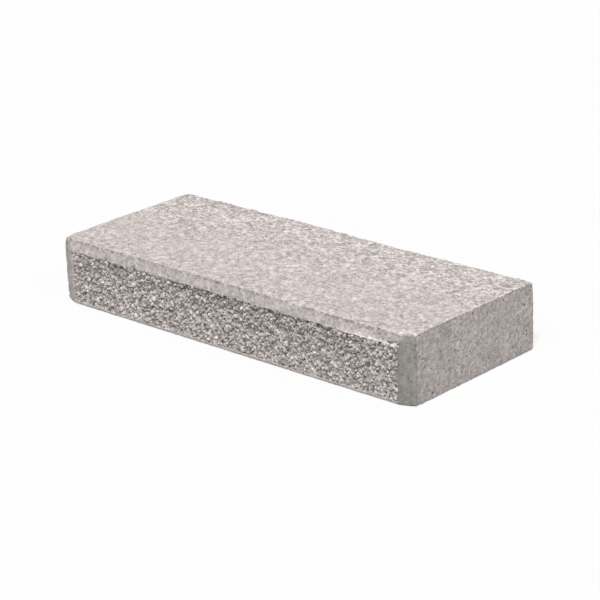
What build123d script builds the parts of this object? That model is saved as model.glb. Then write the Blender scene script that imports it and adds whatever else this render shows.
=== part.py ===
"""Precast concrete step: one dry-cast block with a split front face, in millimetres.

X runs along the step, the split front looks to -Y, and Z is up. The origin is the middle of the base.
The mould gives the flat tread, the steep bevel along its front edge, the chamfered front corners and
the straight foot margin. Between them the front is broken stone: an uneven surface of facets that lies
behind the bevel's lip, which stands out over it as a small uneven ledge.
"""

import math
import os
import random

from build123d import *

# Overall size of the block
length = 1000.0
depth = 400.0
height = 150.0

# Bevel along the front edge of the tread
bevel_run = 4.0
bevel_drop = 26.0

# Chamfers that take off the two front corners from base to tread
corner_along = 32.0
corner_back = 15.0

# Worn arrises: the two rear corners in plan, round the tread apart from the bevel, and round the base
rear_corner = 16.0
tread_arris = 5.0
base_arris = 4.0

# Broken stone of the split face, above the straight foot margin: how far it lies behind the front
foot_margin = 7.0
frame_setback = 1.2
lip_setback = 1.8
least_setback = 0.5
hollow_setback = 7.0
hollow_fade = 70.0
hollow_fullness = 0.7

# Its lumps and facets, how much of both is left along the lip, and how far the lip goes up and down
lump_size = 42.0
lump_spread = 0.35
lump_height = 2.4
lump_waves = 9
facet_size = 13.0
facet_height = 2.2
facet_unevenness = 0.32
lip_relief = 0.3
lip_unevenness = 1.2
split_seed = 11
split_margin = 28.0

front = -depth / 2
back = depth / 2
lip_height = height - bevel_drop


def block_section():
    """Section from front to back, with the bevel, over the whole length."""
    outline = Polyline((back, height), (back, 0), (front, 0), (front, lip_height),
                       (front + bevel_run, height), close=True)
    return extrude(Plane.YZ * make_face(outline), amount=length / 2, both=True)


def block_plan():
    """Plan with the two chamfered front corners and the two worn rear corners, up to the tread."""
    half = length / 2
    outline = Polyline((-half, back), (-half, front + corner_back), (-half + corner_along, front),
                       (half - corner_along, front), (half, front + corner_back), (half, back),
                       close=True)
    plan = make_face(outline)
    rear = plan.vertices().group_by(Axis.Y)[-1]
    return extrude(fillet(rear, radius=rear_corner), amount=height)


def wear_arrises(block):
    """Rounds the arrises round the tread, apart from the bevel's, and all round the base."""
    tread_edges = block.edges().group_by(Axis.Z)[-1].sort_by(Axis.Y)[1:]
    worn = fillet(tread_edges, radius=tread_arris)
    return fillet(worn.edges().group_by(Axis.Z)[0], radius=base_arris)


def lump_field(noise):
    """Broad lumps as a sum of seeded waves that cross each other; gives about -1 to 1."""
    waves = []
    for _ in range(lump_waves):
        wave_length = 2 * lump_size * noise.uniform(1 - lump_spread, 1 + lump_spread)
        waves.append((noise.uniform(0, math.tau), wave_length, noise.uniform(0, math.tau)))

    def lumps(across, up):
        total = 0.0
        for heading, wave_length, phase in waves:
            run = across * math.cos(heading) + up * math.sin(heading)
            total += math.sin(math.tau * run / wave_length + phase)
        return total / math.sqrt(lump_waves)

    return lumps


def rock_depth(lumps, roughness, across, up):
    """Depth of the broken face behind the front plane, deepest half-way up and away from the corners."""
    rise = min((up - foot_margin) / (lip_height - foot_margin), 1.0)
    inwards = min(max((length / 2 - corner_along - abs(across)) / hollow_fade, 0.0), 1.0)
    hollow = (math.sin(math.pi * rise) * inwards) ** hollow_fullness
    edge_setback = frame_setback + (lip_setback - frame_setback) * rise * inwards
    setback = edge_setback + (hollow_setback - edge_setback) * hollow
    relief = lump_height * lumps(across, up) + facet_height * roughness
    return max(setback + max(hollow, lip_relief * rise) * relief, least_setback)


def rock_grid():
    """Corner points of the broken face's facets in uneven rows, from the foot to the lip."""
    noise = random.Random(split_seed)
    lumps = lump_field(noise)
    width = length + 2 * split_margin
    rise = lip_height - foot_margin
    columns = round(width / facet_size)
    rows = round(rise / facet_size)
    grid = []
    for row in range(rows + 1):
        line = []
        for column in range(columns + 1):
            uneven_across = facet_unevenness * noise.uniform(-1, 1) * (0 < column < columns)
            uneven_up = facet_unevenness * noise.uniform(-1, 1) * (0 < row < rows)
            across = width * ((column + uneven_across) / columns - 0.5)
            up = foot_margin + rise * (row + uneven_up) / rows
            if row == rows:
                up += lip_unevenness * noise.uniform(-1, 1)
            roughness = noise.uniform(-1, 1)
            line.append(Vector(across, front + rock_depth(lumps, roughness, across, up), up))
        grid.append(line)
    return grid


def split_cutter():
    """Closed solid of all that the split took off, from the broken face out to well before the front."""
    grid = rock_grid()
    facets = []
    for low, high in zip(grid, grid[1:]):
        for column in range(len(low) - 1):
            a, b = low[column], low[column + 1]
            c, d = high[column + 1], high[column]
            facets.append([a, b, c])
            facets.append([a, c, d])
    foot, lip = grid[0], grid[-1]
    outer_foot = [Vector(point.X, front - split_margin, point.Z) for point in (foot[0], foot[-1])]
    outer_lip = [Vector(point.X, front - split_margin, point.Z) for point in lip]
    for column in range(len(lip) - 1):
        facets.append([lip[column], lip[column + 1], outer_lip[column + 1], outer_lip[column]])
    facets.append(foot + [outer_foot[1], outer_foot[0]])
    facets.append([line[0] for line in grid] + [outer_lip[0], outer_foot[0]])
    facets.append([line[-1] for line in grid] + [outer_lip[-1], outer_foot[1]])
    facets.append(outer_foot + outer_lip[::-1])
    faces = [Face(Wire.make_polygon(points, close=True)) for points in facets]
    return Solid(Shell(faces))


def step_block():
    """The whole block, split face included."""
    block = wear_arrises(block_section() & block_plan())
    return block - split_cutter()


os.makedirs("parts", exist_ok=True)
export_step(step_block(), "parts/step_block.step")
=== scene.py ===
# %% [markdown]
# # A precast concrete step with a split front
# This lesson dresses one block of dry-cast concrete. The block is already built as a solid at its real
# size, and it arrives here as a frame that never moves. What is added is what the eye sees from near
# by: the grain of the tread, the crumbling stone of the split front and the light on them.
# Every length below is in metres, X runs along the step and the split front looks to -Y.

import math

import bpy
import numpy as np
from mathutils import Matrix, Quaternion, Vector
from mathutils.bvhtree import BVHTree


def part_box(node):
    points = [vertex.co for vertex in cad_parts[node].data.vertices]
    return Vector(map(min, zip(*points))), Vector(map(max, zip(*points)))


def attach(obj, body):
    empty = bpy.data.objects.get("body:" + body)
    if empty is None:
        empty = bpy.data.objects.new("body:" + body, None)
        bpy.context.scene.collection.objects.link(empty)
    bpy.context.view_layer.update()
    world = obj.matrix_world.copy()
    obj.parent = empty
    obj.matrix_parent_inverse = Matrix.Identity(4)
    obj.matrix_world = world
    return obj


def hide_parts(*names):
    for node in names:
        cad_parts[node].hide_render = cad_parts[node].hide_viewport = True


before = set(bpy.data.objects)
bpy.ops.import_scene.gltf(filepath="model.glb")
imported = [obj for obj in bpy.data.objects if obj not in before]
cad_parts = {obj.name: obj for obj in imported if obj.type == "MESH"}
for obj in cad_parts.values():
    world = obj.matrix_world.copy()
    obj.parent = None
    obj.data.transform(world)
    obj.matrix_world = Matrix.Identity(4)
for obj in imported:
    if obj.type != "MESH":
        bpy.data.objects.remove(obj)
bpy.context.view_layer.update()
NODE = "step_block"
MM = 0.001
low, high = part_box(NODE)
length, depth, height = high - low
print(f"the block is {length:.3f} long, {depth:.3f} deep and {height:.3f} high")

# %% [markdown]
# ## Camera
# A long lens keeps the long edges nearly parallel. The camera stands off the front right corner and
# looks down a little, and the picture is turned by two degrees, as a camera held by hand is. The
# block could be turned instead, but then its own axes would no longer be the frame's.

# %% Place the camera
view_azimuth = math.radians(43.08)
view_elevation = math.radians(20.33)
view_roll = math.radians(2.09)
view_distance = 4.58
view_aim = Vector((-0.0889, 0.1276, -0.0049))
lens_mm = 124.7
sensor_mm = 36.0

camera_data = bpy.data.cameras.new("camera")
camera_data.lens = lens_mm
camera_data.sensor_width = sensor_mm
camera = bpy.data.objects.new("camera", camera_data)
back_along_view = Vector((math.sin(view_azimuth) * math.cos(view_elevation),
                          -math.cos(view_azimuth) * math.cos(view_elevation),
                          math.sin(view_elevation)))
camera.location = view_aim + back_along_view * view_distance
camera.rotation_mode = "QUATERNION"
level_view = back_along_view.to_track_quat("Z", "Y")
camera.rotation_quaternion = level_view @ Quaternion((0, 0, 1), -view_roll)
bpy.context.scene.collection.objects.link(camera)
bpy.context.scene.camera = camera
bpy.context.scene.view_settings.view_transform = "Standard"
print(f"the camera stands {view_distance} m away with a {lens_mm} mm lens")

# %% [markdown]
# ## Small helpers for node trees
# Every material and every geometry tree below is a handful of nodes. One helper adds a node and fills
# its sockets: a plain value is written on the socket, and another node's output is linked to it.


# %% Node helpers
def node(tree, kind, values=None, **settings):
    """Adds a node; values maps a socket's name or number to a number or to an output socket."""
    made = tree.nodes.new(kind)
    for name, setting in settings.items():
        setattr(made, name, setting)
    for key, value in (values or {}).items():
        if isinstance(value, bpy.types.NodeSocket):
            tree.links.new(value, made.inputs[key])
        else:
            made.inputs[key].default_value = value
    return made


def maths(tree, operation, a, b=0.0, c=0.0, clamp=False):
    """One math node; returns its output."""
    made = node(tree, "ShaderNodeMath", {0: a, 1: b, 2: c}, operation=operation, use_clamp=clamp)
    return made.outputs[0]


def ramp(tree, value, start, end, low_value=0.0, high_value=1.0):
    """Smoothly turns value from low_value at start to high_value at end."""
    made = node(tree, "ShaderNodeMapRange",
                {"Value": value, 1: start, 2: end, 3: low_value, 4: high_value},
                interpolation_type="SMOOTHSTEP")
    return made.outputs[0]


def new_tree(name, kind, inputs, outputs):
    """A node group with named sockets; returns the tree and its input and output nodes."""
    tree = bpy.data.node_groups.new(name, kind)
    for side, sockets in (("INPUT", inputs), ("OUTPUT", outputs)):
        for label, socket, *default in sockets:
            made = tree.interface.new_socket(label, in_out=side, socket_type=f"NodeSocket{socket}")
            if default:
                made.default_value = default[0]
    return tree, tree.nodes.new("NodeGroupInput"), tree.nodes.new("NodeGroupOutput")


# %% [markdown]
# ## Light and floor
# The block lies in soft light. The sky gives about a third of it, from everywhere, and one broad lamp
# high over the camera's side gives the rest, so the tread is the brightest face, the front comes next
# and the end is dimmer. Several lamps would give the same light, but their shadows would cross. The
# floor throws back half of what falls on it, while the camera sees it as near white, with the block's
# soft shadow on it.

# %% Build the light
sky_level = 0.30
lamp_level = 2.56
lamp_softness = math.radians(14)
lamp_from = Vector((0.23, -0.35, 0.70))

world = bpy.data.worlds.new("studio")
bpy.context.scene.world = world
world.use_nodes = True
sky = world.node_tree
sky.nodes.clear()
path = node(sky, "ShaderNodeLightPath")
seen = maths(sky, "ADD", path.outputs["Is Camera Ray"], path.outputs["Is Glossy Ray"])
seen = maths(sky, "ADD", seen, path.outputs["Is Transmission Ray"], clamp=True)
strength = maths(sky, "MULTIPLY_ADD", seen, 1.0 - sky_level, sky_level)
sky_shader = node(sky, "ShaderNodeBackground", {"Color": (1, 1, 1, 1), "Strength": strength})
node(sky, "ShaderNodeOutputWorld", {"Surface": sky_shader.outputs[0]})

lamp_data = bpy.data.lights.new("lamp", "SUN")
lamp_data.energy = lamp_level
lamp_data.angle = lamp_softness
lamp = bpy.data.objects.new("lamp", lamp_data)
lamp.rotation_mode = "QUATERNION"
lamp.rotation_quaternion = lamp_from.to_track_quat("Z", "Y")
bpy.context.scene.collection.objects.link(lamp)
print(f"sky {sky_level}, lamp {lamp_level}")

# %% Build the floor
floor_half = 6.0
floor_bounce = 0.50
floor_shade = 0.30
floor_seen = 0.96

floor_material = bpy.data.materials.new("studio_floor")
floor_material.use_nodes = True
tree = floor_material.node_tree
tree.nodes.clear()
path = node(tree, "ShaderNodeLightPath")
seen = maths(tree, "ADD", path.outputs["Is Camera Ray"], path.outputs["Is Glossy Ray"], clamp=True)
matt = node(tree, "ShaderNodeBsdfDiffuse", {"Color": (floor_bounce, floor_bounce, floor_bounce, 1)})
bright_matt = node(tree, "ShaderNodeBsdfDiffuse", {"Color": (floor_seen, floor_seen, floor_seen, 1)})
glow = node(tree, "ShaderNodeEmission", {"Color": (1, 1, 1, 1), "Strength": 1.0})
shown = node(tree, "ShaderNodeMixShader",
             {0: floor_shade, 1: glow.outputs[0], 2: bright_matt.outputs[0]})
mix = node(tree, "ShaderNodeMixShader", {0: seen, 1: matt.outputs[0], 2: shown.outputs[0]})
node(tree, "ShaderNodeOutputMaterial", {"Surface": mix.outputs[0]})

floor_mesh = bpy.data.meshes.new("studio_floor")
floor_corners = [(side_x * floor_half, side_y * floor_half, 0)
                 for side_x, side_y in ((-1, -1), (1, -1), (1, 1), (-1, 1))]
floor_mesh.from_pydata(floor_corners, [], [(0, 1, 2, 3)])
floor_mesh.materials.append(floor_material)
floor = bpy.data.objects.new("studio_floor", floor_mesh)
bpy.context.scene.collection.objects.link(floor)
print(f"the floor is {2 * floor_half} m wide and throws back {floor_bounce} of the light")

# %% [markdown]
# ## The block's skin: an even net laid on the solid
# Relief needs vertices everywhere, at about the spacing of the grain. The solid has long thin
# triangles. A Remesh modifier would cut them up, but it would also round off the arrises, so a fresh
# net is made: the surface of a regular lattice of points, like the outside of a cube of sugar. Rays
# find how deep the front lies at each station, and near the arrises each point then moves to the
# nearest place on the solid. Along the tread's ends it goes only half of the way, so that the arris
# stays crisp. Bevel, chamfers, worn arrises and the broken front all come over that way.

# %% Choose the stations of the net
net_step = 2.0 * MM
tread_step = 3.0 * MM
arris_steps = np.array([0.0, 0.3, 0.9, 1.7, 2.6, 4.0]) * MM


def stations(start, end, step, fine_start, fine_end):
    """Even stations from start to end, with the fine steps of an arris at the ends that have one."""
    inner_start = start + (arris_steps[-1] if fine_start else 0.0)
    inner_end = end - (arris_steps[-1] if fine_end else 0.0)
    even = np.linspace(inner_start, inner_end, round((inner_end - inner_start) / step) + 1)
    before = start + arris_steps[:-1] if fine_start else []
    after = end - arris_steps[-2::-1] if fine_end else []
    return np.concatenate([before, even, after])


xs = stations(low.x, high.x, net_step, True, True)
ys = stations(low.y, high.y, tread_step, False, True)
zs = stations(low.z, high.z, net_step, False, False)
print(f"the net has {len(xs)} by {len(ys)} by {len(zs)} stations")

# %% Feel for the front with rays
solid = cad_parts[NODE]
tree_of_solid = BVHTree.FromPolygons([v.co for v in solid.data.vertices],
                                     [p.vertices for p in solid.data.polygons])
nudge = 0.02 * MM
run_up = 1.0


def front_at(across, up):
    """Where a ray that comes from the front meets the solid."""
    across = min(max(across, low.x + nudge), high.x - nudge)
    up = min(max(up, low.z + nudge), high.z - nudge)
    return tree_of_solid.ray_cast(Vector((across, low.y - run_up, up)), Vector((0, 1, 0)))[0]


def front_column(across):
    """The front at every height; where a ray misses a worn arris, the nearest hit counts."""
    hits = [front_at(across, up) for up in zs]
    found = [number for number, hit in enumerate(hits) if hit is not None]
    nearest = [min(found, key=lambda other: abs(other - number)) for number in range(len(hits))]
    return [hits[number].y for number in nearest]


front = np.array([front_column(across) for across in xs])
print(f"the deepest ray found the front {front.max() - low.y:.4f} m behind the box")

# %% Press the lattice onto the solid
worn_reach = 18 * MM
crisp_reach = 8 * MM
crisp_share = 0.5

skin = np.ones((len(xs), len(ys), len(zs)), bool)
skin[1:-1, 1:-1, 1:-1] = False
number = np.full(skin.shape, -1)
number[skin] = np.arange(skin.sum())
ix, iy, iz = np.nonzero(skin)
share_back = (ys - low.y) / depth
points = np.empty((len(ix), 3))
points[:, 0] = xs[ix]
points[:, 1] = front[ix, iz] + share_back[iy] * (high.y - front[ix, iz])
points[:, 2] = zs[iz]


def gaps_to_faces(points):
    """Distance from each point to the box's ends, front, rear, base and top, the nearest first."""
    x, y, z = points.T
    gaps = [length / 2 - np.abs(x), y - front[ix, iz], high.y - y, z, high.z - z]
    return np.sort(np.stack(gaps), axis=0)


near_arris = np.flatnonzero(gaps_to_faces(points)[1] < worn_reach)
from_corner = np.minimum(high.y - points[:, 1], points[:, 1] - low.y) - worn_reach
crisp = (high.z - points[:, 2] < crisp_reach) * np.clip(from_corner / worn_reach, 0, 1)
for index in near_arris:
    nearest = np.array(tree_of_solid.find_nearest(Vector(points[index]))[0])
    points[index] += (nearest - points[index]) * (1 - crisp_share * crisp[index])
print(f"{len(near_arris)} of {len(points)} points were moved towards the solid's nearest place")


# %% Join the points into faces
def quads(sheet, flip):
    """Four corners of every cell of a sheet of vertex numbers, turned to face outwards."""
    corners = [sheet[:-1, :-1], sheet[1:, :-1], sheet[1:, 1:], sheet[:-1, 1:]]
    if flip:
        corners.reverse()
    return np.stack([corner.ravel() for corner in corners], axis=1)


faces = np.concatenate([
    quads(number[:, 0, :], False), quads(number[:, -1, :], True),
    quads(number[0, :, :], True), quads(number[-1, :, :], False),
    quads(number[:, :, 0], True), quads(number[:, :, -1], False),
])
print(f"the net has {len(points)} points and {len(faces)} cells")

# %% [markdown]
# ## Which part of the skin is which
# The mould left smooth skin on the bevel, the corner chamfers and the foot margin. Inside that frame
# the front is broken stone. Each point of the net gets a few numbers that say so: how far it lies
# behind the smooth frame tells broken stone from mould skin, and the distance to the nearest arris
# tells where edges chip. Painting the regions by hand would do as well, but a rule follows the solid
# when its sizes change. The trees below read these numbers by their names.

# %% Tell broken stone from mould skin
bevel_run = 4 * MM
bevel_drop = 26 * MM
corner_along = 32 * MM
corner_back = 15 * MM
foot_margin = 7 * MM
chamfer_margin = 5 * MM
lip_height = height - bevel_drop
split_from = 0.9 * foot_margin
split_to = lip_height + 3 * MM
broken_from = 0.25 * MM


def ramp_down(gap, reach):
    """1 where the gap is nothing, 0 from the reach on."""
    return np.clip(1 - gap / reach, 0, 1)


def ramp_up(value, start, end):
    """0 up to the start, 1 from the end on."""
    return np.clip((value - start) / (end - start), 0, 1)


x, y, z = points.T
top_row = len(zs) - 1
on_front = iy == 0
on_top = iz == top_row
on_end = (ix == 0) | (ix == len(xs) - 1)
from_end = length / 2 - np.abs(x)
chamfer_y = low.y + corner_back * ramp_down(from_end, corner_along)
bevel_y = low.y + bevel_run * ramp_down(high.z - z, bevel_drop)
behind_frame = np.where(on_front, y - np.maximum(chamfer_y, bevel_y), 0.0)
off_chamfer = from_end > corner_along + chamfer_margin
broken = (behind_frame > broken_from) & (z > split_from) & (z < split_to) & off_chamfer
skin_left = on_front & ~broken
on_bevel = skin_left & (bevel_y > chamfer_y)
print(f"{int(broken.sum())} points lie on broken stone, {int(skin_left.sum())} on mould skin")

# %% Mark where edges chip and where the lip throws its shadow
base_reach = 8 * MM
far_reach = 45 * MM
shadow_reach = 15 * MM
lip_row = 1 * MM
far_from_all = 1.0

rear_gap = np.hypot(high.y - y, high.z - z)
left_gap = np.hypot(x - low.x, high.z - z)
rear_edge = ramp_down(rear_gap, far_reach)
left_edge = ramp_down(left_gap, far_reach)
arris_gap = np.where(z < base_reach, far_from_all, gaps_to_faces(points)[1])
lip_gap = np.where(on_bevel & (z > lip_height - lip_row), z - lip_height, far_from_all)
under_lip = broken * ramp_down(lip_height - z, shadow_reach)
print(f"{int((under_lip > 0).sum())} points lie close under the lip")

# %% Mark where the finish changes and where shade and light are painted
rear_from, rear_to = -0.05, 0.12
crease_rows = 3
crease_on_end = 0.8
pale_reach = 4 * MM
rear_band = 7 * MM
rear_skin_share = 0.7
fresh_above, fresh_reach = 2 * MM, 5 * MM
fresh_from, fresh_run = 0.31, 0.04
# The foot margin and the left chamfer take less of the dark mould tone than the right chamfer: painted
# light, making up for the shade along the foot and for the lamp's weaker light on the left chamfer.
foot_mould_share_painted_light, left_mould_share_painted_light = 0.15, 0.3

rear_share = on_top * ramp_up(y, rear_from, rear_to)
# Painted shade: the bevel's rows under the tread's arris and the ends' rows under their top arris get a
# dotted dark line, where a fine groove would be shaded.
under_arris = on_end & (iz >= top_row - crease_rows) & ~on_top
crease = np.maximum(on_bevel * (iz > top_row - crease_rows), crease_on_end * under_arris)
# the tread's strip along its ends, painted paler in the material
edge = on_top * ramp_down(from_end, pale_reach)
rear_skin = np.where(np.abs(x) > length / 2 - MM, np.clip((y - high.y) / rear_band + 2, 0, 1), 0.0)
# Near the lip's right end the front is painted paler: partly the paler concrete of a fresh break,
# partly a painted highlight where the lip catches the light.
fresh_and_highlight = on_front * off_chamfer * ramp_down(np.abs(z - lip_height - fresh_above), fresh_reach)
fresh_and_highlight *= ramp_up(x, fresh_from, fresh_from + fresh_run)
# the paler shares on the foot and the left chamfer are painted light
mould_share = np.where(off_chamfer, foot_mould_share_painted_light, np.where(x < 0, left_mould_share_painted_light, 1.0))
print(f"{int((fresh_and_highlight > 0).sum())} points lie where the lip broke freshly, at its right end")

# %% [markdown]
# ## Wear
# A block that is lifted, stacked and walked on loses its corners first and then its long arrises. Here
# the corners of the tread go most and those of the base less. The rear arris, the left arris and the
# nose of the bevel sink along part of their length. A sculpting brush would do it too, but a rule is
# exact and can be run again: each point moves by how near it lies to the corner or the arris.


# %% Wear the corners
def drawn_in(points, gap, way, wear, reach):
    """Moves points along a way: by the full wear where the gap is nothing, by nothing from reach on."""
    return points + (ramp_down(gap, reach) ** 2 * wear)[:, None] * np.array(way)


rear_corner = 5 * MM
corner_spots = [(length / 2, low.y + corner_back), (length / 2 - corner_along, low.y),
                (length / 2 - rear_corner, high.y - rear_corner)]
corner_reach = 30 * MM
front_corner_wear = 3.0 * MM
rear_corner_wear = 0.8 * MM
base_share = 0.4

for along, across in corner_spots:
    top_wear = rear_corner_wear if across > 0 else front_corner_wear
    for side, up in ((-1, low.z), (-1, high.z), (1, low.z), (1, high.z)):
        gap = np.linalg.norm(points - np.array((side * along, across, up)), axis=1)
        inwards = -np.sign([side, across, up - height / 2]) / math.sqrt(3)
        wear = top_wear if up > low.z else base_share * top_wear
        points = drawn_in(points, gap, inwards, wear, corner_reach)
print(f"{4 * len(corner_spots)} corners are worn")

# %% Wear the arrises
nose_gap = np.hypot(y - low.y - bevel_run, high.z - z)
rear_wear = 5.5 * MM * ramp_up(x, -0.15, 0.15)
nose_wear = 3.5 * MM * ramp_up(x, -0.2, 0.4)
left_wear = 3.0 * MM * ramp_up(-y, -0.25, 0.10)
arris_wear = [
    # distance to the arris, way that its points move, wear at each point, reach of the wear
    (rear_gap, (0, -0.6, -0.8), rear_wear, 45 * MM),
    (nose_gap, (0, 0, -1), nose_wear, 25 * MM),
    (left_gap, (0.6, 0, -0.8), left_wear, 30 * MM),
]
for gap, way, wear, reach in arris_wear:
    points = drawn_in(points, gap, way, wear, reach)
print(f"{len(arris_wear)} arrises are worn")

# %% Let the lip run down to the right
sink_left, sink_more = 1.8, 3.0
sink_reach = 45 * MM
# the two sinks are in millimetres
lip_sinks = (sink_left + sink_more * ramp_up(x, low.x, high.x)) * MM
lip_share = np.where(z > lip_height, ramp_down(z - lip_height, bevel_drop),
                     ramp_down(lip_height - z, sink_reach))
points[:, 2] -= on_front * lip_share * lip_sinks
print(f"the lip sinks by {lip_sinks.min() / MM:.1f} to {lip_sinks.max() / MM:.1f} mm")

# %% Store the marks on a mesh
marks = {
    "broken": broken,
    "mould_skin": (skin_left & ~on_bevel & ~on_top) * mould_share,
    "bevel_skin": np.maximum(on_bevel & ~on_top, rear_skin_share * rear_skin),
    "tread": on_top,
    "arris_gap": arris_gap,
    "lip_gap": lip_gap,
    "rear_edge": rear_edge,
    "far_edge": np.maximum(rear_edge, left_edge),
    "crease": crease,
    "under_lip": under_lip,
    "rear_share": rear_share,
    "fresh_and_highlight": fresh_and_highlight,
    "edge": edge,
}
net = bpy.data.meshes.new("step_skin")
net.from_pydata(points.tolist(), [], faces.tolist())
for name, values in marks.items():
    layer = net.attributes.new(name, "FLOAT", "POINT")
    layer.data.foreach_set("value", np.asarray(values, np.float32))
net.update()
print("each point carries", len(marks), "marks")

# %% [markdown]
# ## Relief by Geometry Nodes
# Concrete relief is the same rule at every point: so much lump, so much grain, a pit here and there.
# A geometry tree says the rule once, with a named input for every size, and moves each point along
# its normal. The broken front gets crumbs of the aggregate's size standing out of a lumpy matrix, and
# notches close under the lip. The tread gets low waves and pits, the arrises get chips, and the mould
# skin stays nearly smooth. Sculpting would give the same look once, but the rule can be run again at
# another size.


# %% Helpers for geometry trees
def named_layer(tree, name):
    """Reads one of the numbers stored on the points."""
    made = node(tree, "GeometryNodeInputNamedAttribute", {"Name": name}, data_type="FLOAT")
    return made.outputs["Attribute"]


def shifted(tree, place, seed, offset):
    """Moves the sampling place by the seed, so that each layer of relief has its own pattern."""
    step_aside = maths(tree, "MULTIPLY_ADD", seed, 0.37, offset)
    return node(tree, "ShaderNodeVectorMath", {0: place, 1: step_aside}, operation="ADD").outputs[0]


def times(tree, *values):
    """Multiplies several values."""
    product = values[0]
    for value in values[1:]:
        product = maths(tree, "MULTIPLY", product, value)
    return product


# %% Helpers for noise, in geometry and in materials
def noise_field(tree, place, size, detail=2.0, roughness=0.55):
    """A noise between 0 and 1 whose lumps are about one size across."""
    scale = maths(tree, "DIVIDE", 1.0, size)
    made = node(tree, "ShaderNodeTexNoise",
                {"Vector": place, "Scale": scale, "Detail": detail, "Roughness": roughness})
    return made.outputs[0]


def cells(tree, place, size):
    """Cells round scattered centres, one size across; returns the distances and the colours."""
    scale = maths(tree, "DIVIDE", 1.0, size)
    made = node(tree, "ShaderNodeTexVoronoi", {"Vector": place, "Scale": scale, "Randomness": 1.0})
    return made.outputs["Distance"], made.outputs["Color"]


# %% Relief of the broken front
def broken_relief(tree, size, spot):
    """Crumbs of two sizes, less a part that keeps their mean near nothing, on wider lumps."""
    fine_share, fine_weight, crumb_mean, lump_mean = 0.55, 0.45, 0.8, 0.55
    crumb = ramp(tree, cells(tree, spot(0.0), size["Crumb Size"])[0], 0.62, 0.10)
    fine_size = maths(tree, "MULTIPLY", size["Crumb Size"], fine_share)
    fine = ramp(tree, cells(tree, spot(1.0), fine_size)[0], 0.62, 0.12)
    crumb = maths(tree, "SUBTRACT", maths(tree, "MULTIPLY_ADD", fine, fine_weight, crumb), crumb_mean)
    lump = maths(tree, "SUBTRACT", noise_field(tree, spot(2.0), size["Lump Size"], 3.0), lump_mean)
    return maths(tree, "ADD", times(tree, crumb, size["Crumb Height"]),
                 times(tree, lump, size["Lump Height"], 2.0))


# %% Relief of the cast faces
def cast_relief(tree, size, spot):
    """Waves, dips towards the far arrises and pits, all lower on the skin that the mould left."""
    wave_top, pit_patch, skin_calm = 0.72, 2.5, 0.75
    wave = maths(tree, "SUBTRACT", noise_field(tree, spot(3.0), size["Wave Size"], 2.5, 0.6), wave_top)
    rear_waves = maths(tree, "MULTIPLY_ADD", named_layer(tree, "rear_edge"), size["Rear Waves"], 1.0)
    wave = times(tree, wave, size["Wave Height"], rear_waves)
    dip = ramp(tree, noise_field(tree, spot(8.0), size["Dip Size"], 2.0), 0.40, 0.66)
    dip = times(tree, dip, named_layer(tree, "far_edge"), size["Dip Depth"])
    wave = maths(tree, "SUBTRACT", wave, dip)
    pit = ramp(tree, cells(tree, spot(4.0), size["Pit Size"])[0], 0.30, 0.10)
    patch_size = maths(tree, "MULTIPLY", size["Pit Size"], pit_patch)
    pit_patches = noise_field(tree, spot(5.0), patch_size, 0.0)
    pit = times(tree, pit, ramp(tree, pit_patches, 0.48, 0.56), size["Pit Depth"])
    smooth = maths(tree, "ADD", named_layer(tree, "mould_skin"), named_layer(tree, "bevel_skin"))
    return times(tree, maths(tree, "SUBTRACT", wave, pit),
                 maths(tree, "MULTIPLY_ADD", smooth, -skin_calm, 1.0))


# %% Chips on the arrises, losses along the lip and notches under it
def chip_depth(tree, size, spot):
    """Depth of the chips along the arrises, deeper towards the rear one."""
    near = ramp(tree, named_layer(tree, "arris_gap"), size["Chip Size"], 0.0)
    worn = ramp(tree, noise_field(tree, spot(6.0), size["Chip Size"], 2.0), 0.50, 0.72)
    rear_chips = maths(tree, "MULTIPLY_ADD", named_layer(tree, "rear_edge"), 0.8, 1.0)
    return times(tree, near, worn, rear_chips, size["Chip Depth"])


def lip_loss(tree, size, spot, along):
    """1 where the bevel's lip has broken away, more often towards the right end, 0 elsewhere."""
    lip = ramp(tree, named_layer(tree, "lip_gap"), size["Lip Chip Reach"], 0.0)
    towards_end = ramp(tree, along, size["Chipped From"], 0.46, 0.66, 0.53)
    lip_noise = noise_field(tree, spot(7.0), size["Chip Size"], 2.0)
    loss = maths(tree, "SUBTRACT", maths(tree, "MULTIPLY_ADD", lip, 0.12, lip_noise), towards_end)
    return times(tree, ramp(tree, loss, 0.06, 0.16), maths(tree, "GREATER_THAN", lip, 0.001))


def notch_depth(tree, size, spot):
    """Depth of the notches close under the lip, less the fill that stands out between them."""
    fill_share = 1.6
    notch = ramp(tree, noise_field(tree, spot(9.0), size["Notch Size"], 1.0), 0.50, 0.58)
    notch = times(tree, notch, named_layer(tree, "under_lip"), size["Notch Depth"])
    fill_size = maths(tree, "MULTIPLY", size["Notch Size"], fill_share)
    fill = ramp(tree, noise_field(tree, spot(10.0), fill_size, 1.0), 0.44, 0.56)
    fill = times(tree, fill, named_layer(tree, "under_lip"), size["Lip Fill"])
    return maths(tree, "SUBTRACT", notch, fill)


# %% Write the relief tree
relief_sizes = {
    "Crumb Size": 8.5 * MM, "Crumb Height": 3.6 * MM, "Lump Size": 17 * MM, "Lump Height": 1.8 * MM,
    "Wave Size": 11 * MM, "Wave Height": 3.2 * MM, "Rear Waves": 1.3, "Dip Size": 45 * MM,
    "Dip Depth": 1.6 * MM, "Pit Size": 11 * MM, "Pit Depth": 2.0 * MM, "Chip Size": 10 * MM,
    "Chip Depth": 1.6 * MM, "Lip Chip Reach": 20 * MM, "Lip Chip Depth": 2.0 * MM,
    "Chipped From": 0.37, "Notch Size": 9 * MM, "Notch Depth": 5.5 * MM, "Lip Fill": 2.4 * MM,
    "Seed": 3.0,
}
hollow_from, hollow_to = 0.2 * MM, -4.2 * MM


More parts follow.
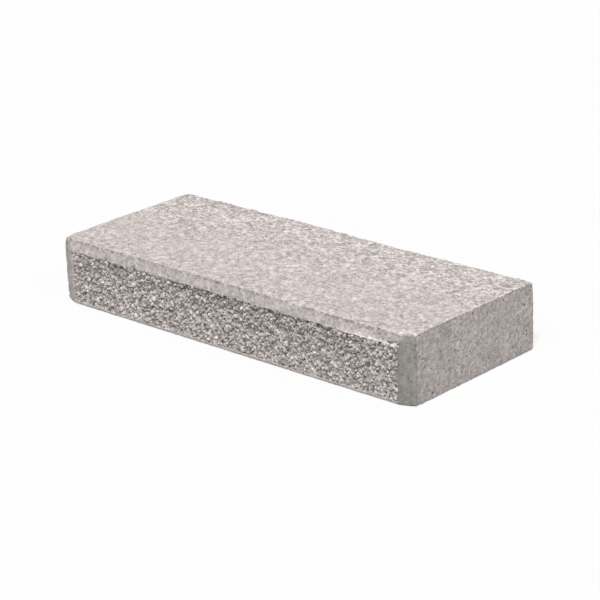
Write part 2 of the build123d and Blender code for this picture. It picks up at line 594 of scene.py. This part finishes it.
def relief_tree(material):
    """Moves the skin's points along their normals: crumbs, lumps, waves, pits, chips and notches."""
    tree, given, result = new_tree(
        "concrete_relief", "GeometryNodeTree",
        [("Geometry", "Geometry")] + [(label, "Float", 0.0) for label in relief_sizes],
        [("Geometry", "Geometry")])
    tree.is_modifier = True
    size = given.outputs
    place = node(tree, "GeometryNodeInputPosition").outputs[0]
    along = node(tree, "ShaderNodeSeparateXYZ", {0: place}).outputs[0]

    def spot(offset):
        return shifted(tree, place, size["Seed"], offset)

    loss = lip_loss(tree, size, spot, along)
    share = maths(tree, "MAXIMUM", named_layer(tree, "broken"), loss)
    rise = maths(tree, "ADD", times(tree, broken_relief(tree, size, spot), share),
                 times(tree, cast_relief(tree, size, spot), maths(tree, "SUBTRACT", 1.0, share)))
    lost = times(tree, loss, size["Lip Chip Depth"])
    rise = maths(tree, "SUBTRACT", rise, maths(tree, "ADD", chip_depth(tree, size, spot), lost))
    rise = maths(tree, "SUBTRACT", rise, notch_depth(tree, size, spot))

    normal = node(tree, "GeometryNodeInputNormal").outputs[0]
    push = node(tree, "ShaderNodeVectorMath", {0: normal, "Scale": rise}, operation="SCALE")
    geometry = given.outputs["Geometry"]
    # the depth of each hollow is kept for the material, which paints shade into the hollows of the
    # broken front
    for name, value in (("hollow", ramp(tree, rise, hollow_from, hollow_to)), ("broken", share)):
        kept = node(tree, "GeometryNodeStoreNamedAttribute",
                    {"Geometry": geometry, "Name": name, "Value": value},
                    data_type="FLOAT", domain="POINT")
        geometry = kept.outputs[0]
    moved = node(tree, "GeometryNodeSetPosition", {"Geometry": geometry, "Offset": push.outputs[0]})
    real = node(tree, "GeometryNodeRealizeInstances", {"Geometry": moved.outputs[0]})
    painted = node(tree, "GeometryNodeSetMaterial",
                   {"Geometry": real.outputs[0], "Material": material})
    tree.links.new(painted.outputs[0], result.inputs[0])
    return tree


# %% Helpers for modifiers and pieces
def add_tree(piece, tree, values):
    """Puts a geometry tree on a piece; values go to its inputs by their labels."""
    modifier = piece.modifiers.new(tree.name, "NODES")
    modifier.node_group = tree
    sockets = {item.name: item.identifier for item in tree.interface.items_tree
               if item.in_out == "INPUT"}
    for label, value in values.items():
        modifier[sockets[label]] = value
    return modifier


def settle(piece):
    """Replaces a piece's mesh by its modifiers' result and takes the modifiers off."""
    bpy.context.view_layer.update()
    graph = bpy.context.evaluated_depsgraph_get()
    mesh = bpy.data.meshes.new_from_object(piece.evaluated_get(graph), preserve_all_data_layers=True,
                                           depsgraph=graph)
    piece.modifiers.clear()
    piece.data = mesh
    return mesh


def triangles(mesh):
    """How many triangles a mesh has once its faces are cut up."""
    return len(mesh.loops) - 2 * len(mesh.polygons)


def add_piece(name, mesh):
    """A new object at the origin that shows the mesh."""
    piece = bpy.data.objects.new(name, mesh)
    bpy.context.scene.collection.objects.link(piece)
    return piece


# %% Run the relief tree and thin the net
triangle_limit = 190_000
skin_material = bpy.data.materials.new("step_concrete")
step = add_piece("step_concrete", net)
add_tree(step, relief_tree(skin_material), relief_sizes)
full = triangles(settle(step))
thinner = step.modifiers.new("thinner", "DECIMATE")
thinner.ratio = min(1.0, triangle_limit / full)
skin_mesh = settle(step)
print(f"relief on {full} triangles, thinned to {triangles(skin_mesh)}")

# %% Keep the skin inside the solid's box
sharp_angle = math.radians(50)


def hold_inside(mesh):
    """Brings points that stand proud of the box back to it; returns how far the worst one went."""
    places = np.empty(len(mesh.vertices) * 3, np.float32)
    mesh.vertices.foreach_get("co", places)
    places = places.reshape(-1, 3)
    held = np.clip(places, np.array(low), np.array(high))
    mesh.vertices.foreach_set("co", held.ravel())
    mesh.update()
    return float(np.abs(held - places).max())


print(f"the worst point of the skin stood {hold_inside(skin_mesh) / MM:.2f} mm proud")
skin_mesh.polygons.foreach_set("use_smooth", np.ones(len(skin_mesh.polygons), bool))
skin_mesh.set_sharp_from_angle(angle=sharp_angle)

# %% [markdown]
# ## Loose-looking aggregate on the broken front
# Where a block is split, the crack runs round many of the small stones, and they stand half out of
# the cement. Relief alone can't undercut, so these are bodies of their own. Points are scattered over
# the broken part only, and a stone of twenty faces is put on each, turned and scaled at random. The
# instances are then made real, because noise has to dent every one in its own way and an export
# would drop them.

# %% Write the stone tree
stone_sizes = {
    "Gap": 4.0 * MM, "Density": 60000.0, "Small": 1.1 * MM, "Large": 4.8 * MM, "Dent": 1.6 * MM,
    "Front": low.y + 0.1 * MM,
}
stone_faces = 20
small_bias = 2.6
slim, wide = 0.7, 1.3
dent_grain = 0.7


def stone_tree(material):
    """Scatters small angular stones over the broken part of a skin."""
    tree, given, result = new_tree(
        "broken_aggregate", "GeometryNodeTree",
        [("Geometry", "Geometry")] + [(label, "Float", 0.0) for label in stone_sizes],
        [("Geometry", "Geometry")])
    tree.is_modifier = True
    size = given.outputs
    where = ramp(tree, named_layer(tree, "broken"), 0.6, 0.9)
    spots = node(tree, "GeometryNodeDistributePointsOnFaces",
                 {"Mesh": given.outputs["Geometry"], "Distance Min": size["Gap"],
                  "Density Max": size["Density"], "Density Factor": where, "Seed": 5},
                 distribute_method="POISSON")
    shape = node(tree, "GeometryNodeMeshIcoSphere", {"Radius": 1.0, "Subdivisions": 1})

    def chance(kind, least, most, seed):
        made = node(tree, "FunctionNodeRandomValue", {"Seed": seed}, data_type=kind)
        pair = [socket for socket in made.inputs if socket.name in ("Min", "Max") and socket.enabled]
        for socket, value in zip(pair, (least, most)):
            socket.default_value = value
        return next(socket for socket in made.outputs if socket.enabled)

    share = maths(tree, "POWER", chance("FLOAT", 0.0, 1.0, 11), small_bias)
    radius = node(tree, "ShaderNodeMapRange", {"Value": share, 3: size["Small"], 4: size["Large"]})
    stretch = chance("FLOAT_VECTOR", (slim,) * 3, (wide,) * 3, 12)
    scale = node(tree, "ShaderNodeVectorMath", {0: stretch, "Scale": radius.outputs[0]},
                 operation="SCALE")
    turn = chance("FLOAT_VECTOR", (0.0,) * 3, (math.tau,) * 3, 13)
    put = node(tree, "GeometryNodeInstanceOnPoints",
               {"Points": spots.outputs["Points"], "Instance": shape.outputs["Mesh"],
                "Rotation": turn, "Scale": scale.outputs[0]})
    toned = node(tree, "GeometryNodeStoreNamedAttribute",
                 {"Geometry": put.outputs[0], "Name": "tone", "Value": chance("FLOAT", 0.0, 1.0, 14)},
                 data_type="FLOAT", domain="INSTANCE")
    real = node(tree, "GeometryNodeRealizeInstances", {"Geometry": toned.outputs[0]})

    place = node(tree, "GeometryNodeInputPosition").outputs[0]
    scale_of_dents = maths(tree, "DIVIDE", dent_grain, size["Dent"])
    dents = node(tree, "ShaderNodeTexNoise", {"Vector": place, "Scale": scale_of_dents, "Detail": 0.0})
    centred = node(tree, "ShaderNodeVectorMath", {0: dents.outputs["Color"], 1: (0.5, 0.5, 0.5)},
                   operation="SUBTRACT")
    push = node(tree, "ShaderNodeVectorMath", {0: centred.outputs[0], "Scale": size["Dent"]},
                operation="SCALE")
    dented = node(tree, "GeometryNodeSetPosition",
                  {"Geometry": real.outputs[0], "Offset": push.outputs[0]})
    nearest = node(tree, "ShaderNodeCombineXYZ", {0: -1.0, 1: size["Front"], 2: 0.0})
    kept_in = node(tree, "ShaderNodeVectorMath", {0: place, 1: nearest.outputs[0]},
                   operation="MAXIMUM")
    held = node(tree, "GeometryNodeSetPosition",
                {"Geometry": dented.outputs[0], "Position": kept_in.outputs[0]})
    painted = node(tree, "GeometryNodeSetMaterial",
                   {"Geometry": held.outputs[0], "Material": material})
    tree.links.new(painted.outputs[0], result.inputs[0])
    return tree


# %% Scatter the stones
stone_material = bpy.data.materials.new("broken_stone")
stones = add_piece("split_stones", skin_mesh.copy())
add_tree(stones, stone_tree(stone_material), stone_sizes)
stone_mesh = settle(stones)
stone_mesh.polygons.foreach_set("use_smooth", np.zeros(len(stone_mesh.polygons), bool))
print(f"the worst stone stood {hold_inside(stone_mesh) / MM:.2f} mm proud")
print(f"{triangles(stone_mesh) // stone_faces} stones, {triangles(stone_mesh)} triangles")

# %% [markdown]
# ## Concrete as a material
# Dry-cast concrete is sand and small stone in grey cement. From near by it shows cloudy patches of
# richer and poorer mix, single grains that are paler or darker than the cement, and small open pores.
# A photograph could be laid on, but it would repeat and smear over the edges. All faces of the block
# share that build-up, only in other amounts, so it is one shader group with named inputs. Each face
# takes its own values, and the numbers stored on the skin mix the faces.


# %% Helpers for colours
def mix_colour(tree, share, first, second, blend="MIX"):
    """Mixes two colours; share 0 gives the first."""
    made = node(tree, "ShaderNodeMix", {0: share, 6: first, 7: second}, data_type="RGBA",
                blend_type=blend)
    return made.outputs[2]


def shaded(tree, colour, factor):
    """Multiplies a colour by one number."""
    grey = node(tree, "ShaderNodeCombineColor", {0: factor, 1: factor, 2: factor}).outputs[0]
    return mix_colour(tree, 1.0, colour, grey, "MULTIPLY")


def channel(tree, colour, number):
    """One of the three numbers that make a colour; the colour of a cell gives random ones."""
    return node(tree, "ShaderNodeSeparateColor", {0: colour}).outputs[number]


# %% Grains, pores and veins
def grain(tree, size):
    """Single grains lighter or darker than the cement, under a fine noise; about -1 to 1."""
    cell_weight, fine_gain = 0.6, 2.4
    colour = cells(tree, size["Vector"], size["Grain Size"])[1]
    doubled = maths(tree, "MULTIPLY", channel(tree, colour, 0), 2.0)
    light_or_dark = maths(tree, "SUBTRACT", doubled, 1.0)
    fine = noise_field(tree, size["Vector"], size["Grain Size"], 2.0, 0.6)
    fine = maths(tree, "MULTIPLY_ADD", fine, fine_gain, -fine_gain / 2)
    return maths(tree, "ADD", maths(tree, "MULTIPLY", light_or_dark, cell_weight), fine)


def pores(tree, size):
    """Up to 1 inside a pore, 0 outside; the rims are uneven and each pore has its own strength."""
    rim_noise, widest, rim_outside, rim_inside = 0.35, 0.6, 0.15, 0.03
    distance, colour = cells(tree, size["Vector"], size["Pore Size"])
    uneven = noise_field(tree, size["Vector"], size["Grain Size"], 1.0, 0.6)
    distance = maths(tree, "MULTIPLY_ADD", uneven, rim_noise, distance)
    reach = maths(tree, "MULTIPLY", size["Pore Share"], widest)
    pore = ramp(tree, distance, maths(tree, "ADD", reach, rim_outside),
                maths(tree, "ADD", reach, rim_inside))
    return maths(tree, "MULTIPLY", pore, ramp(tree, channel(tree, colour, 1), 0.10, 0.80))


def veins(tree, size):
    """1 along thin lines that wander, 0 away from them."""
    step_aside, vein_width = (0.31, 0.17, 0.23), 0.055
    offset = node(tree, "ShaderNodeVectorMath", {0: size["Vector"], 1: step_aside}, operation="ADD")
    bands = noise_field(tree, offset.outputs[0], size["Vein Size"], 3.0, 0.6)
    from_line = maths(tree, "ABSOLUTE", maths(tree, "SUBTRACT", bands, 0.5))
    return ramp(tree, from_line, vein_width, 0.0)


# %% Build the shared concrete group
def concrete_group():
    """Clouds, grains, pores and veins of concrete: puts out colour, roughness and height in metres."""
    inputs = [
        ("Vector", "Vector"), ("Pale", "Color", (0.60, 0.55, 0.53, 1)),
        ("Deep", "Color", (0.45, 0.41, 0.39, 1)), ("Cloud Size", "Float", 0.03),
        ("Grain Size", "Float", 0.004), ("Grain Contrast", "Float", 0.3),
        ("Grain Height", "Float", 0.0002), ("Pore Size", "Float", 0.006), ("Pore Share", "Float", 0.5),
        ("Pore Darkness", "Float", 0.5), ("Pore Depth", "Float", 0.0006), ("Vein Size", "Float", 0.012),
        ("Vein Darkness", "Float", 0.2), ("Vein Depth", "Float", 0.0003), ("Patch Size", "Float", 0.07),
        ("Patch Contrast", "Float", 0.05),
    ]
    outputs = [("Color", "Color"), ("Roughness", "Float"), ("Height", "Float")]
    tree, given, result = new_tree("dry_cast_concrete", "ShaderNodeTree", inputs, outputs)
    size = given.outputs
    patch_gain, poor_roughness, rich_roughness = 4.0, 0.96, 0.86

    clouds = noise_field(tree, size["Vector"], size["Cloud Size"], 4.0, 0.65)
    clouds = ramp(tree, clouds, 0.36, 0.62)
    patches = noise_field(tree, size["Vector"], size["Patch Size"], 2.0, 0.6)
    patches = maths(tree, "MULTIPLY_ADD", patches, patch_gain, -patch_gain / 2)
    speck, pore, vein = grain(tree, size), pores(tree, size), veins(tree, size)

    colour = mix_colour(tree, clouds, size["Deep"], size["Pale"])
    factor = maths(tree, "MULTIPLY_ADD", speck, size["Grain Contrast"], 1.0)
    patchy = maths(tree, "MULTIPLY_ADD", patches, size["Patch Contrast"], 1.0)
    colour = shaded(tree, colour, maths(tree, "MULTIPLY", factor, patchy))
    dark = maths(tree, "MULTIPLY", pore, size["Pore Darkness"])
    dark = maths(tree, "MULTIPLY_ADD", dark, -1.0, 1.0)
    dark = maths(tree, "SUBTRACT", dark, maths(tree, "MULTIPLY", vein, size["Vein Darkness"]))
    colour = shaded(tree, colour, dark)

    rise = maths(tree, "SUBTRACT", maths(tree, "MULTIPLY", speck, size["Grain Height"]),
                 maths(tree, "MULTIPLY", pore, size["Pore Depth"]))
    rise = maths(tree, "SUBTRACT", rise, maths(tree, "MULTIPLY", vein, size["Vein Depth"]))
    rough = ramp(tree, clouds, 0.0, 1.0, poor_roughness, rich_roughness)
    for output, value in enumerate((colour, rough, rise)):
        tree.links.new(value, result.inputs[output])
    return tree


concrete_tree = concrete_group()
print("the concrete group has", len(concrete_tree.nodes), "nodes")

# %% Values for each face
tread_face = {
    "Pale": (0.795, 0.724, 0.696, 1), "Deep": (0.570, 0.511, 0.489, 1), "Cloud Size": 0.012,
    "Grain Size": 0.0055, "Grain Contrast": 0.28, "Grain Height": 0.55 * MM, "Pore Size": 0.0120,
    "Pore Share": 0.34, "Pore Darkness": 0.75, "Pore Depth": 1.4 * MM, "Vein Size": 0.015,
    "Vein Darkness": 0.24, "Vein Depth": 0.5 * MM, "Patch Size": 0.070, "Patch Contrast": 0.05,
}
cast_face = {
    "Pale": (0.655, 0.594, 0.572, 1), "Deep": (0.550, 0.498, 0.478, 1), "Cloud Size": 0.012,
    "Grain Size": 0.0055, "Grain Contrast": 0.27, "Grain Height": 0.34 * MM, "Pore Size": 0.0090,
    "Pore Share": 0.39, "Pore Darkness": 0.90, "Pore Depth": 1.6 * MM, "Vein Size": 0.018,
    "Vein Darkness": 0.10, "Vein Depth": 0.3 * MM, "Patch Size": 0.060, "Patch Contrast": 0.11,
}
bevel_face = {
    "Pale": (0.690, 0.626, 0.601, 1), "Deep": (0.550, 0.498, 0.477, 1), "Cloud Size": 0.012,
    "Grain Size": 0.0055, "Grain Contrast": 0.34, "Grain Height": 0.35 * MM, "Pore Size": 0.0100,
    "Pore Share": 0.36, "Pore Darkness": 0.90, "Pore Depth": 0.8 * MM, "Vein Size": 0.020,
    "Vein Darkness": 0.06, "Vein Depth": 0.2 * MM, "Patch Size": 0.050, "Patch Contrast": 0.05,
}
mould_face = {
    "Pale": (0.370, 0.345, 0.323, 1), "Deep": (0.295, 0.277, 0.258, 1), "Cloud Size": 0.016,
    "Grain Size": 0.0055, "Grain Contrast": 0.22, "Grain Height": 0.20 * MM, "Pore Size": 0.0190,
    "Pore Share": 0.24, "Pore Darkness": 0.50, "Pore Depth": 0.5 * MM, "Vein Size": 0.020,
    "Vein Darkness": 0.05, "Vein Depth": 0.1 * MM, "Patch Size": 0.050, "Patch Contrast": 0.06,
}
split_face = {
    "Pale": (0.860, 0.785, 0.760, 1), "Deep": (0.485, 0.437, 0.420, 1), "Cloud Size": 0.013,
    "Grain Size": 0.0065, "Grain Contrast": 0.42, "Grain Height": 0.80 * MM, "Pore Size": 0.0110,
    "Pore Share": 0.38, "Pore Darkness": 0.72, "Pore Depth": 2.4 * MM, "Vein Size": 0.020,
    "Vein Darkness": 0.0, "Vein Depth": 0.0, "Patch Size": 0.045, "Patch Contrast": 0.06,
}
print("each face gives", len(split_face), "values to the concrete group")


# %% Helpers for the two materials
def empty_tree(material):
    """Clears a material's nodes but for a new output; returns its tree and the output node."""
    material.use_nodes = True
    material.node_tree.nodes.clear()
    return material.node_tree, material.node_tree.nodes.new("ShaderNodeOutputMaterial")


def face_of(tree, place, values):
    """Places the concrete group with one face's values."""
    made = node(tree, "ShaderNodeGroup", node_tree=concrete_tree)
    tree.links.new(place, made.inputs["Vector"])
    for label, value in values.items():
        made.inputs[label].default_value = value
    return made.outputs


def point_number(tree, name):
    """Reads a number stored on the points, in a material."""
    return node(tree, "ShaderNodeAttribute", attribute_name=name).outputs["Fac"]


def finish_with(tree, output, colour, rough, rise):
    """Feeds colour, roughness and height into one shader."""
    bump = node(tree, "ShaderNodeBump", {"Height": rise, "Distance": 1.0, "Strength": 1.0})
    shader = node(tree, "ShaderNodeBsdfPrincipled",
                  {"Base Color": colour, "Roughness": rough, "Normal": bump.outputs[0]})
    tree.links.new(shader.outputs[0], output.inputs["Surface"])


# %% [markdown]
# ## How the faces meet in one material
# On the real block the finish changes without a seam, and the smaller marks lie over every face.
# Shade is painted into the hollows of the broken front and along the crease under the arrises, the
# tread is paler along its ends, the lip's right end is paler where it broke freshly and with a painted
# highlight, and the foot is a little darker. A material for each face would show a hard line where
# they meet. So one material mixes the five faces by the stored numbers, and then lightens or darkens
# the result by the small marks.

# %% Amounts of the small marks
# painted shade: how much darker the hollows of the broken front are painted
hollow_painted_shade = 0.70
# how much paler the tread is painted along its ends
edge_paleness = 0.20
crease_dots = 0.008
# painted shade along the crease under the arrises
crease_painted_shade = 0.40
# how much paler the lip's right end is painted: a fresh break with a painted highlight
fresh_highlight_paleness = 1.00
rear_roughness = 0.8
rear_contrast = 0.52
tread_middle = (0.62, 0.562, 0.538, 1)
# every face is painted a little darker towards the foot
darkening_height = 0.05
foot_darkening = 0.07
print(f"hollows are darkened by {hollow_painted_shade}, the foot by {foot_darkening}")


# %% Mix the faces and shade them
def mixed_faces(tree, place):
    """Colour, roughness and height of the five faces, mixed by the numbers stored on the skin."""
    colour, rough, rise = face_of(tree, place, cast_face)
    for name, values in (("tread", tread_face), ("bevel_skin", bevel_face),
                         ("mould_skin", mould_face), ("broken", split_face)):
        share = point_number(tree, name)
        other = face_of(tree, place, values)
        colour = mix_colour(tree, share, colour, other["Color"])
        rough = node(tree, "ShaderNodeMix", {0: share, 2: rough, 3: other["Roughness"]}).outputs[0]
        rise = node(tree, "ShaderNodeMix", {0: share, 2: rise, 3: other["Height"]}).outputs[0]
    contrast = maths(tree, "MULTIPLY_ADD", point_number(tree, "rear_share"), rear_contrast, 1.0)
    spread = node(tree, "ShaderNodeMix", {0: contrast, 6: tread_middle, 7: colour}, data_type="RGBA",
                  clamp_factor=False)
    rougher = maths(tree, "MULTIPLY_ADD", point_number(tree, "rear_edge"), rear_roughness, 1.0)
    return spread.outputs[2], rough, maths(tree, "MULTIPLY", rise, rougher)


def shade_of_marks(tree, place):
    """How much lighter or darker the small marks make the concrete; 1 leaves it as it is."""
    # painted shade in the hollows of the broken front
    shade = maths(tree, "MULTIPLY", point_number(tree, "hollow"), point_number(tree, "broken"))
    shade = maths(tree, "MULTIPLY_ADD", shade, -hollow_painted_shade, 1.0)
    # the tread is painted paler within a few millimetres of its ends
    shade = maths(tree, "MULTIPLY_ADD", point_number(tree, "edge"), edge_paleness, shade)
    # painted shade along the crease under the arrises, broken into dots
    dots = node(tree, "ShaderNodeTexNoise", {"Vector": place, "Scale": 1 / crease_dots, "Detail": 1.0})
    dotted = ramp(tree, dots.outputs[0], 0.38, 0.58)
    line = maths(tree, "MULTIPLY", point_number(tree, "crease"), dotted)
    shade = maths(tree, "MULTIPLY_ADD", line, -crease_painted_shade, shade)
    # the lip's right end is painted paler, a fresh break with a painted highlight
    shade = maths(tree, "MULTIPLY_ADD", point_number(tree, "fresh_and_highlight"), fresh_highlight_paleness, shade)
    # darker towards the foot
    up = node(tree, "ShaderNodeSeparateXYZ", {0: place}).outputs["Z"]
    return maths(tree, "SUBTRACT", shade, ramp(tree, up, darkening_height, 0.0, 0.0, foot_darkening))


# %% Paint the skin
tree, output = empty_tree(skin_material)
place = node(tree, "ShaderNodeTexCoord").outputs["Object"]
colour, rough, rise = mixed_faces(tree, place)
colour = shaded(tree, colour, shade_of_marks(tree, place))
finish_with(tree, output, colour, rough, rise)
print("the skin's material has", len(tree.nodes), "nodes")

# %% Paint the stones
# Each stone takes its own tone, from dark grey to nearly white, under a fine grain.
stone_tones = [(0.00, (0.20, 0.185, 0.175)), (0.12, (0.36, 0.325, 0.31)), (0.40, (0.50, 0.452, 0.435)),
               (0.72, (0.62, 0.565, 0.545)), (0.90, (0.82, 0.775, 0.75)), (1.00, (0.90, 0.87, 0.85))]
stone_face = split_face | {
    "Grain Contrast": 0.12, "Grain Height": 0.15 * MM, "Pore Darkness": 0.2, "Pore Depth": 0.2 * MM,
}
grain_share = 0.35

tree, output = empty_tree(stone_material)
place = node(tree, "ShaderNodeTexCoord").outputs["Object"]
face = face_of(tree, place, stone_face)
tones = node(tree, "ShaderNodeValToRGB", {"Fac": point_number(tree, "tone")})
band = tones.color_ramp.elements
for stop_number, (at, tone) in enumerate(stone_tones):
    stop = band[stop_number] if stop_number < 2 else band.new(at)
    stop.position = at
    stop.color = (*tone, 1)
colour = mix_colour(tree, grain_share, tones.outputs["Color"], face["Color"])
finish_with(tree, output, colour, face["Roughness"], face["Height"])
print("materials:", [material.name for material in bpy.data.materials])

# %% [markdown]
# ## Hand the pieces over
# The dressed skin stands for the solid, which stays hidden for its weight and its collisions. Both
# pieces belong to the one body of the block, and take their finish from its one concrete.

# %% Tie the pieces to the block
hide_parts(NODE)
for piece in (step, stones):
    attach(piece, "root")
